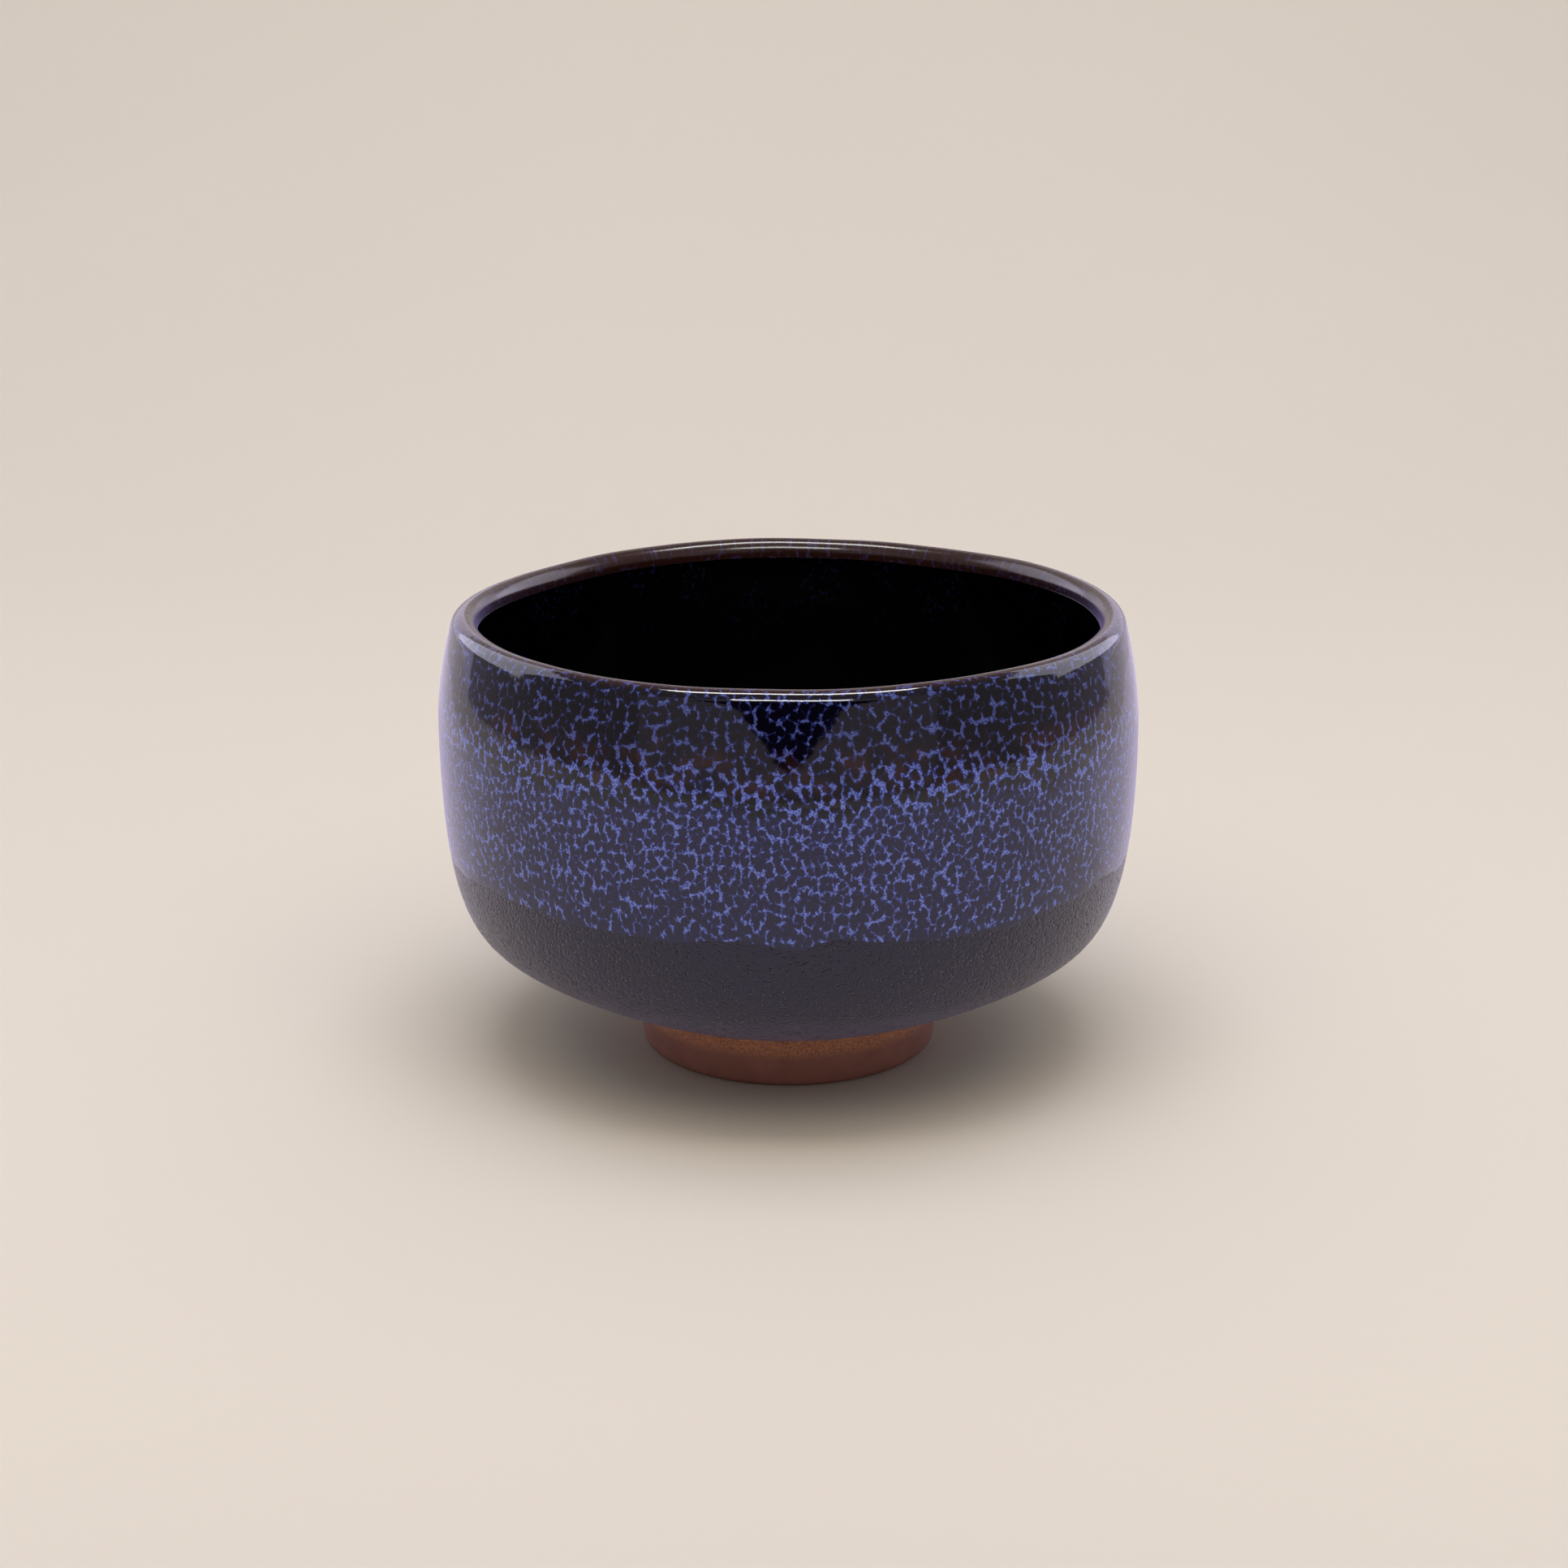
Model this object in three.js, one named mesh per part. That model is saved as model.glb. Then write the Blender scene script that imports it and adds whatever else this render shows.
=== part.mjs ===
// Matcha bowl: a thrown stoneware bowl on a turned foot ring, with four coats of glaze.
// Millimetres, +Z up. The bowl stands on z = 0 and its axis is the Z axis.
import * as THREE from "three";

// Driving sizes
const bowlHeight = 78;
const bellyRadius = 60; // the widest place, below the rim
const footHeight = 9;
const footRadius = 26; // at the shoulder, where the foot meets the bowl
const footWall = 6.4; // thickness of the foot ring at the shoulder
const lipThickness = 4.7;
const wallThickness = 5.4; // at the belly, glaze included
const floorThickness = 6.4; // clay in the middle of the bowl
const coatThickness = 0.8; // each glaze coat
const coatGap = 0.1; // between a coat and the clay, and between two coats
const footGap = 0.3; // between the foot ring and the clay it is luted to

// Where the bowl's turns sit, as shares of the driving sizes
const bellyHeight = 0.77 * bowlHeight;
const waistRadius = 0.887 * bellyRadius; // the round turn from the low slope to the wall
const waistHeight = 0.287 * bowlHeight;
const lipRadius = 0.92 * bellyRadius; // middle of the lip's roll
const innerWallHeight = 0.62 * bowlHeight;
const wellRadius = 0.3 * bellyRadius; // the tea well in the floor
const wellDepth = 1.2;
const wellBank = 3; // width of the well's sloping bank
const rimCoatHeight = 0.756 * bowlHeight; // lower edge of the glossy rim coat
const middleCoatHeight = 0.47 * bowlHeight; // lower edge of the speckled coat
const rimCoatInside = 0.955 * bowlHeight; // where the rim coat ends inside the lip
const glazeSetback = 0.5; // bare clay left above the foot's shoulder

// Foot ring details
const footTaper = 0.3; // the ring narrows by this much towards its base
const footRound = 1.8; // rounded outer corner of the base
const footRoundInside = 0.9;
const recessRise = 1.4; // the floor's underside domes up inside the ring

// Slopes of the surface at its turns, in degrees from level
const shoulderSlope = 14;
const waistSlope = 42;
const lipLean = 105;
const innerLipSlope = 275;
const innerWallSlope = 269;
const floorSlope = 188;
const upright = 90;
const level = 180;

const turns = 40; // flats around the bowl
const domeSteps = 5;
const footCornerSteps = 3;
const stationSpace = 0.5; // closest that two places of an outline may come
const halvings = 40; // rounds of halving that find a place by its height

const rad = THREE.MathUtils.degToRad;

// A curve from one place to another that leaves and arrives at the given slopes.
// A pull is the handle's share of the straight distance.
function bend(from, fromSlope, fromPull, to, toSlope, toPull) {
  const span = from.distanceTo(to);
  const out = new THREE.Vector2(Math.cos(rad(fromSlope)), Math.sin(rad(fromSlope)));
  const home = new THREE.Vector2(Math.cos(rad(toSlope)), Math.sin(rad(toSlope)));
  return new THREE.CubicBezierCurve(
    from,
    from.clone().addScaledVector(out, fromPull * span),
    to.clone().addScaledVector(home, -toPull * span),
    to,
  );
}

// The glazed surface from the foot's shoulder, over the lip, to the middle of the floor.
function bowlSurface() {
  const lipRoll = lipThickness / 2;
  const lipArc = (fromSlope, toSlope) => new THREE.EllipseCurve(
    lipRadius,
    bowlHeight - lipRoll,
    lipRoll,
    lipRoll,
    rad(fromSlope - 90),
    rad(toSlope - 90),
  );
  const outerLip = lipArc(lipLean, level);
  const innerLip = lipArc(level, innerLipSlope);
  const floorHeight = footHeight + footGap + recessRise + floorThickness;
  const shoulder = new THREE.Vector2(footRadius, footHeight);
  const waist = new THREE.Vector2(waistRadius, waistHeight);
  const belly = new THREE.Vector2(bellyRadius, bellyHeight);
  const innerWall = new THREE.Vector2(bellyRadius - wallThickness, innerWallHeight);
  const bank = new THREE.Vector2(wellRadius + wellBank, floorHeight + wellDepth);
  const well = new THREE.Vector2(wellRadius, floorHeight);
  const middle = new THREE.Vector2(0, floorHeight);
  const outside = [
    { steps: 6, curve: bend(shoulder, shoulderSlope, 0.25, waist, waistSlope, 0.2) },
    { steps: 7, curve: bend(waist, waistSlope, 0.24, belly, upright, 0.25) },
    { steps: 3, curve: bend(belly, upright, 0.3, outerLip.getPoint(0), lipLean, 0.25) },
    { steps: 3, curve: outerLip },
  ];
  const inside = [
    { steps: 4, curve: innerLip },
    { steps: 3, curve: bend(innerLip.getPoint(1), innerLipSlope, 0.3, innerWall, innerWallSlope, 0.4) },
    { steps: 7, curve: bend(innerWall, innerWallSlope, 0.45, bank, floorSlope, 0.45) },
    { steps: 2, curve: bend(bank, floorSlope, 0.4, well, level, 0.4) },
    { steps: 1, curve: new THREE.LineCurve(well, middle) },
  ];
  return { outside, inside };
}

const lengthOf = (stretches) => stretches.reduce((sum, { curve }) => sum + curve.getLength(), 0);

const { outside, inside } = bowlSurface();
const surface = new THREE.CurvePath();
[...outside, ...inside].forEach(({ curve }) => surface.add(curve));
const surfaceLength = lengthOf([...outside, ...inside]);
const stations = surfaceStations();

// Places along the surface, as shares of its length, that every coat and the clay have in common.
function surfaceStations() {
  const places = [0];
  let before = 0;
  for (const { steps, curve } of [...outside, ...inside]) {
    const length = curve.getLength();
    for (let i = 1; i <= steps; i++) {
      places.push((before + (length * i) / steps) / surfaceLength);
    }
    before += length;
  }
  return places;
}

// The point at a place on the surface, sunk into the wall by depth.
function sunkPoint(place, depth) {
  const at = surface.getPointAt(place);
  const along = surface.getTangentAt(place);
  return new THREE.Vector2(Math.max(at.x - depth * along.y, 0), at.y + depth * along.x);
}

// The surface between two places, sunk by depth.
function sunkFace(from, to, depth) {
  const clear = stationSpace / surfaceLength;
  const between = stations.filter((s) => s > from + clear && s < to - clear);
  return [from, ...between, to].map((place) => sunkPoint(place, depth));
}

// The place between two others where the surface crosses a height.
function placeAtHeight(z, low, high) {
  const rising = surface.getPointAt(high).y > surface.getPointAt(low).y;
  for (let i = 0; i < halvings; i++) {
    const middle = (low + high) / 2;
    if (surface.getPointAt(middle).y < z === rising) low = middle;
    else high = middle;
  }
  return low;
}

// Turns an outline of (radius, height) points into a solid about the Z axis.
function turned(name, outline, colour, roughness) {
  const geometry = new THREE.LatheGeometry(outline, turns);
  geometry.rotateX(Math.PI / 2);
  const material = new THREE.MeshStandardMaterial({ color: colour, roughness, metalness: 0 });
  const mesh = new THREE.Mesh(geometry, material);
  mesh.name = name;
  return mesh;
}

// A band of glaze that closes on itself.
function coatBand(from, to) {
  const outside = sunkFace(from, to, 0);
  const inside = sunkFace(from, to, coatThickness).reverse();
  return [...outside, ...inside, outside[0].clone()];
}

const crest = lengthOf(outside) / surfaceLength;
const rimCoatStart = placeAtHeight(rimCoatHeight, 0, crest);
const middleCoatStart = placeAtHeight(middleCoatHeight, 0, crest);
const rimCoatEnd = placeAtHeight(rimCoatInside, crest, 1);
const gapShare = coatGap / surfaceLength;

// The thrown body: wall, lip and floor, with the floor's underside domed inside the foot ring.
function clayBody() {
  const depth = coatThickness + coatGap;
  const underside = footHeight + footGap;
  const recessRadius = footRadius - footWall;
  const dome = new THREE.CubicBezierCurve(
    new THREE.Vector2(0, underside + recessRise),
    new THREE.Vector2(recessRadius / 2, underside + recessRise),
    new THREE.Vector2(recessRadius / 2, underside),
    new THREE.Vector2(recessRadius, underside),
  );
  const skin = sunkFace(0, 1, depth);
  const corner = new THREE.Vector2(skin[0].x, underside);
  const outline = [...dome.getPoints(domeSteps), corner, ...skin];
  return turned("clay_body", outline, 0x5b3728, 0.8);
}

// The turned foot ring, bare clay with a rounded base.
function footRing() {
  const top = footHeight;
  const inside = footRadius - footWall;
  const base = footRadius - footTaper;
  const section = new THREE.Path();
  section.moveTo(inside + footRoundInside, 0);
  section.lineTo(base - footRound, 0);
  section.absarc(base - footRound, footRound, footRound, rad(-90), 0, false);
  section.lineTo(footRadius, top);
  section.lineTo(inside, top);
  section.lineTo(inside, footRoundInside);
  section.absarc(inside + footRoundInside, footRoundInside, footRoundInside, rad(180), rad(270), false);
  return turned("foot_ring", section.getPoints(footCornerSteps), 0x6b402d, 0.85);
}

// The matt lower coat, from just above the foot to the speckled band.
function baseGlaze() {
  const start = glazeSetback / surfaceLength;
  const outline = coatBand(start, middleCoatStart - gapShare);
  return turned("base_glaze", outline, 0x2c2a3a, 0.55);
}

// The middle band with its fine blue web.
function speckledGlaze() {
  const outline = coatBand(middleCoatStart, rimCoatStart - gapShare);
  return turned("speckled_glaze", outline, 0x3a3c5c, 0.3);
}

// The glossy dark coat of the rim, rolled over the lip.
function rimGlaze() {
  const outline = coatBand(rimCoatStart, rimCoatEnd - gapShare);
  return turned("rim_glaze", outline, 0x23202f, 0.12);
}

// The near-black coat that lines the bowl and its tea well.
function linerGlaze() {
  const outer = sunkFace(rimCoatEnd, 1, coatThickness).reverse();
  const inner = sunkFace(rimCoatEnd, 1, 0);
  return turned("liner_glaze", [...outer, ...inner], 0x08080d, 0.1);
}

const matchaBowl = new THREE.Group();
matchaBowl.add(clayBody());
matchaBowl.add(footRing());
matchaBowl.add(baseGlaze());
matchaBowl.add(speckledGlaze());
matchaBowl.add(rimGlaze());
matchaBowl.add(linerGlaze());

export default matchaBowl;
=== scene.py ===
import math

import bpy
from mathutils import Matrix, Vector, geometry


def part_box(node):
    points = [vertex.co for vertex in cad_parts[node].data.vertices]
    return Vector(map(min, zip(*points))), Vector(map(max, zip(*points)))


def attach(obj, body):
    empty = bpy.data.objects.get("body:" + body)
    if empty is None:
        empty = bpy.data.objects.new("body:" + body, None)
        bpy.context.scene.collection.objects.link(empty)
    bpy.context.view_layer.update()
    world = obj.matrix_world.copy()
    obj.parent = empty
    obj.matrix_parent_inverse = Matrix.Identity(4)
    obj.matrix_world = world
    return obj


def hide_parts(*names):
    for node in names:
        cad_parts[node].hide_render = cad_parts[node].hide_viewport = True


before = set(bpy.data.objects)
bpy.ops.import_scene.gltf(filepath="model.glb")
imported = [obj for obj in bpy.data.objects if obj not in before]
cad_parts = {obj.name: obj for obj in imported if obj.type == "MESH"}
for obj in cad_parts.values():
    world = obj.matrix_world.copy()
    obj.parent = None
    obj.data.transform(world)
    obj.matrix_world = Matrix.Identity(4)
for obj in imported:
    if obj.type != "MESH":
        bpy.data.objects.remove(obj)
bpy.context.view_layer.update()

# Everything below is in metres, in the CAD frame: the bowl stands on z = 0, its axis is Z.
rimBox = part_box("rim_glaze")
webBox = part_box("speckled_glaze")
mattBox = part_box("base_glaze")
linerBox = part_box("liner_glaze")
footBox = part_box("foot_ring")
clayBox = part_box("clay_body")

millimetre = 0.001


def linearColour(hexCode):
    channels = [int(hexCode[i:i + 2], 16) / 255 for i in (1, 3, 5)]
    linear = [c / 12.92 if c <= 0.04045 else ((c + 0.055) / 1.055) ** 2.4 for c in channels]
    return (*linear, 1.0)


def clamp(value):
    return max(0.0, min(1.0, value))


def blendBetween(value, low, high):
    share = clamp((value - low) / (high - low))
    return share * share * (3 - 2 * share)


# The bowl's outline runs from the foot's shoulder over the lip to the middle of the floor.
bowlShape = {
    "bellyRadius": rimBox[1].x,
    "height": rimBox[1].z,
    "footRadius": footBox[1].x,
    "footHeight": footBox[1].z,
    "bellyHeight": 0.77,  # shares of the height from here
    "waistHeight": 0.287,
    "innerWallHeight": 0.62,
    "waistRadius": 0.887,  # shares of the belly's radius
    "lipRadius": 0.92,
    "wellRadius": 0.3,
    "lipThickness": 4.7 * millimetre,
    "wallThickness": 5.4 * millimetre,
    "coat": 0.8 * millimetre,
    "coatGap": 0.1 * millimetre,
    "wellDepth": 1.2 * millimetre,
    "wellBank": 3.0 * millimetre,
}


def slopeDirection(degrees):
    return Vector((math.cos(math.radians(degrees)), 0, math.sin(math.radians(degrees))))


def bend(start, startSlope, startPull, end, endSlope, endPull):
    span = (end - start).length
    leave = start + slopeDirection(startSlope) * startPull * span
    arrive = end - slopeDirection(endSlope) * endPull * span
    return geometry.interpolate_bezier(start, leave, arrive, end, 60)


def drawOutline(shape):
    belly, height, roll = shape["bellyRadius"], shape["height"], shape["lipThickness"] / 2
    floorHeight = linerBox[0].z + shape["coat"]
    lipCentre = Vector((shape["lipRadius"] * belly, 0, height - roll))
    lip = [lipCentre + slopeDirection(15 + 170 * i / 40) * roll for i in range(41)]
    shoulder = Vector((shape["footRadius"], 0, shape["footHeight"]))
    waist = Vector((shape["waistRadius"] * belly, 0, shape["waistHeight"] * height))
    widest = Vector((belly, 0, shape["bellyHeight"] * height))
    innerWall = Vector((belly - shape["wallThickness"], 0, shape["innerWallHeight"] * height))
    wellRadius = shape["wellRadius"] * belly
    bank = Vector((wellRadius + shape["wellBank"], 0, floorHeight + shape["wellDepth"]))
    well = Vector((wellRadius, 0, floorHeight))
    middle = Vector((0, 0, floorHeight))
    outline = bend(shoulder, 14, 0.25, waist, 42, 0.2)
    outline += bend(waist, 42, 0.24, widest, 90, 0.25)[1:]
    outline += bend(widest, 90, 0.3, lip[0], 105, 0.25)[1:]
    outline += lip[1:]
    outline += bend(lip[-1], 275, 0.3, innerWall, 269, 0.4)[1:]
    outline += bend(innerWall, 269, 0.45, bank, 188, 0.45)[1:]
    outline += bend(bank, 188, 0.4, well, 180, 0.4)[1:]
    outline += [well.lerp(middle, i / 20) for i in range(1, 21)]
    return outline


outline = drawOutline(bowlShape)
lengths = [0.0]
for before, after in zip(outline, outline[1:]):
    lengths.append(lengths[-1] + (after - before).length)
crestIndex = max(range(len(outline)), key=lambda i: outline[i].z)


def outlineAt(length):
    i = next((k for k in range(1, len(lengths)) if lengths[k] >= length), len(lengths) - 1)
    share = clamp((length - lengths[i - 1]) / (lengths[i] - lengths[i - 1]))
    return outline[i - 1].lerp(outline[i], share), (outline[i] - outline[i - 1]).normalized()


def lengthAtHeight(z, inside=False):
    places = range(crestIndex, len(outline)) if inside else range(crestIndex)
    return lengths[min(places, key=lambda i: abs(outline[i].z - z))]


def outlineStretch(start, end, count, depthAt):
    points = []
    for i in range(count):
        share = i / (count - 1)
        at, along = outlineAt(start + (end - start) * share)
        inward = Vector((-along.z, 0, along.x))
        point = at + inward * depthAt(share)
        points.append(Vector((max(point.x, 0), 0, point.z)))
    return points


# A profile drawn point by point, then spun about the bowl's axis.
def spinProfile(name, points, steps):
    bpy.ops.object.select_all(action="DESELECT")
    bpy.ops.mesh.primitive_plane_add(size=millimetre, location=points[0])
    piece = bpy.context.object
    piece.name = piece.data.name = name
    bpy.ops.object.transform_apply(location=True, rotation=True, scale=True)
    bpy.ops.object.mode_set(mode="EDIT")
    bpy.ops.mesh.select_all(action="SELECT")
    bpy.ops.mesh.merge(type="CENTER")
    for before, after in zip(points, points[1:]):
        bpy.ops.mesh.extrude_vertices_move(TRANSFORM_OT_translate={"value": after - before})
    bpy.ops.mesh.select_all(action="SELECT")
    bpy.ops.mesh.remove_doubles(threshold=0.001 * millimetre)
    bpy.ops.mesh.spin(steps=steps, angle=math.tau, center=(0, 0, 0), axis=(0, 0, 1))
    bpy.ops.mesh.select_all(action="SELECT")
    bpy.ops.mesh.remove_doubles(threshold=0.002 * millimetre)
    bpy.ops.mesh.normals_make_consistent(inside=False)
    bpy.ops.object.mode_set(mode="OBJECT")
    return piece


def applyModifier(piece, kind, **settings):
    modifier = piece.modifiers.new(kind.title(), kind)
    for key, value in settings.items():
        setattr(modifier, key, value)
    bpy.context.view_layer.objects.active = piece
    bpy.ops.object.modifier_apply(modifier=modifier.name)


def makeClouds(name, size, depth=1):
    clouds = bpy.data.textures.new(name, "CLOUDS")
    clouds.noise_scale = size
    clouds.noise_depth = depth
    return clouds


def weigh(piece, name, weightAt):
    group = piece.vertex_groups.new(name=name)
    for vertex in piece.data.vertices:
        group.add([vertex.index], clamp(weightAt(vertex.co)), "REPLACE")
    return name


handThrown = {
    "sway": makeClouds("wallSway", 26 * millimetre),
    "swayBy": 0.35 * millimetre,
    "ripple": makeClouds("rimRipple", 40 * millimetre),
    "rippleBy": 0.8 * millimetre,
    "dip": Vector((-47, 26, 78)) * millimetre,  # the rim sinks most here
    "dipReach": 42 * millimetre,
    "dipBy": -1.0 * millimetre,
}


# A thrown wall is never quite round, and its rim never quite level.
def throwByHand(piece):
    height = bowlShape["height"]
    weigh(piece, "wall", lambda p: blendBetween(p.z, 0.3 * height, 0.6 * height))
    weigh(piece, "rim", lambda p: blendBetween(p.z, 0.55 * height, height))
    weigh(piece, "dip", lambda p: blendBetween(p.z, 0.55 * height, height)
          * blendBetween((p - handThrown["dip"]).length, handThrown["dipReach"], 0))
    applyModifier(piece, "DISPLACE", texture=handThrown["sway"], strength=handThrown["swayBy"],
                  mid_level=0.7, vertex_group="wall")
    applyModifier(piece, "DISPLACE", texture=handThrown["ripple"], strength=handThrown["rippleBy"],
                  mid_level=0.7, direction="Z", vertex_group="rim")
    applyModifier(piece, "DISPLACE", strength=handThrown["dipBy"],
                  mid_level=0, direction="Z", vertex_group="dip")


def finishPiece(piece, body, node, material):
    piece.vertex_groups.clear()
    piece.data.materials.clear()
    piece.data.materials.append(material)
    bpy.ops.object.select_all(action="DESELECT")
    piece.select_set(True)
    bpy.context.view_layer.objects.active = piece
    bpy.ops.object.shade_smooth()
    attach(piece, body)
    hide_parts(node)
    print("made", piece.name, len(piece.data.polygons), "faces")


# Materials. A pattern's sizes are in millimetres.
# An input takes a number, a colour, a socket, or another node, of which it takes the first live output.
def connect(tree, node, inputs):
    wanted = inputs.items() if isinstance(inputs, dict) else enumerate(inputs)
    for socket, source in wanted:
        if isinstance(source, bpy.types.Node):
            source = next(output for output in source.outputs if output.enabled)
        if isinstance(source, bpy.types.NodeSocket):
            tree.links.new(source, node.inputs[socket])
        else:
            node.inputs[socket].default_value = source


def addNode(tree, kind, settings=None, inputs=()):
    node = tree.nodes.new("ShaderNode" + kind)
    for name, value in (settings or {}).items():
        setattr(node, name, value)
    connect(tree, node, inputs)
    return node


# settings that many nodes share
smoothly = {"interpolation_type": "SMOOTHSTEP"}
asColour = {"data_type": "RGBA"}
asNumber = {"data_type": "FLOAT"}
times = {"operation": "MULTIPLY"}
timesPlus = {"operation": "MULTIPLY_ADD"}
minus = {"operation": "SUBTRACT"}


def newMaterial(name, sockets):
    material = bpy.data.materials.new(name)
    material.use_nodes = True
    tree = material.node_tree
    tree.nodes.clear()
    shader = addNode(tree, "BsdfPrincipled", None, sockets)
    addNode(tree, "OutputMaterial", None, {"Surface": shader})
    return material, tree, shader


# Where a point of the glaze lies: its place, height and distance from the axis, and its place on a sheet
# wrapped round the wall.
def wallCoordinates(tree):
    metres = addNode(tree, "TexCoord").outputs["Object"]
    place = addNode(tree, "VectorMath", {"operation": "SCALE"}, {0: metres, "Scale": 1 / millimetre})
    x, y, z = addNode(tree, "SeparateXYZ", None, [place]).outputs
    ySquared = addNode(tree, "Math", times, [y, y])
    squared = addNode(tree, "Math", timesPlus, [x, x, ySquared])
    radius = addNode(tree, "Math", {"operation": "SQRT"}, [squared])
    toFront = addNode(tree, "Math", times, [y, -1])
    toLeft = addNode(tree, "Math", times, [x, -1])
    front = addNode(tree, "Math", {"operation": "ARCTAN2"}, [x, toFront])
    back = addNode(tree, "Math", {"operation": "ARCTAN2"}, [toLeft, y])
    # the sheet's two halves meet along a ragged line towards the back, where no edge shows
    wander = addNode(tree, "TexNoise", None, {"Vector": place, "Scale": 1 / 3.0, "Detail": 2.0})
    turned = addNode(tree, "Math", {"operation": "ABSOLUTE"}, [front])
    ragged = addNode(tree, "Math", timesPlus, [wander, 0.2, turned])
    isBack = addNode(tree, "Math", {"operation": "GREATER_THAN"}, [ragged, 2.3])
    otherSheet = addNode(tree, "Math", {"operation": "ADD"}, [back, 9])
    turn = addNode(tree, "Mix", asNumber, {0: isBack, 2: front, 3: otherSheet})
    around = addNode(tree, "Math", times, [turn, bowlShape["bellyRadius"] / millimetre])
    up = addNode(tree, "Math", minus, [z, radius])
    sheet = addNode(tree, "CombineXYZ", None, [around, up])
    return {"place": place, "z": z, "radius": radius, "sheet": sheet}


webLook = {
    "rimCell": 1.65,  # across a cell near the rim
    "wallCell": 1.2,  # across a cell in the middle band
    "rimGround": "#060512",
    "wallGround": "#1a1a44",
    "iron": "#2f1811",
    "thread": "#33409e",
    "milk": "#7b90e8",
    "bloom": "#b9b2ff",
    "cellStretch": {"rim": 0.75, "wall": 0.8},  # under 1 draws the cells out downwards
    "drift": 7.0,  # the bands' borders rise and fall over this length
    "driftBy": 9.0,
    "bend": 0.8,  # a thread bends over this length
    "bendBy": 1.1,
    "patch": 1.0,  # a thread swells and thins over this length
    "cloud": 5.0,
    "grain": 0.35,
    "roll": 2.2,  # the glass's soft waves
    "lipRadius": (55.0, 56.6),  # the net stops on the lip's crown, between these distances from the axis
    "wallRoughness": 0.2,
    "rimRoughness": 0.06,
}

# How thick the threads run, from the matt coat's edge (0) to the lip (1).
threadDensity = {
    0.0: 0.0,
    0.05: 0.45,
    0.25: 0.65,
    0.5: 0.75,
    0.6: 1.0,
    0.66: 1.0,
    0.75: 0.5,
    0.9: 0.4,
    1.0: 0.6,
}


# Highest along the threads between the cells, and higher still in the knots where three cells meet.
def netOfThreads(tree, sheet, cell, stretch):
    scaled = addNode(tree, "Mapping", None, {"Vector": sheet, "Scale": (1 / cell, stretch / cell, 1)})
    cells = {"Vector": scaled, "Scale": 1.0, "Randomness": 0.95}
    near = addNode(tree, "TexVoronoi", {"voronoi_dimensions": "2D", "feature": "F1"}, cells)
    edge = addNode(tree, "TexVoronoi", {"voronoi_dimensions": "2D", "feature": "DISTANCE_TO_EDGE"}, cells)
    knots = addNode(tree, "Math", times, [near, 0.6])
    return addNode(tree, "Math", minus, [knots, edge])


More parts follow.
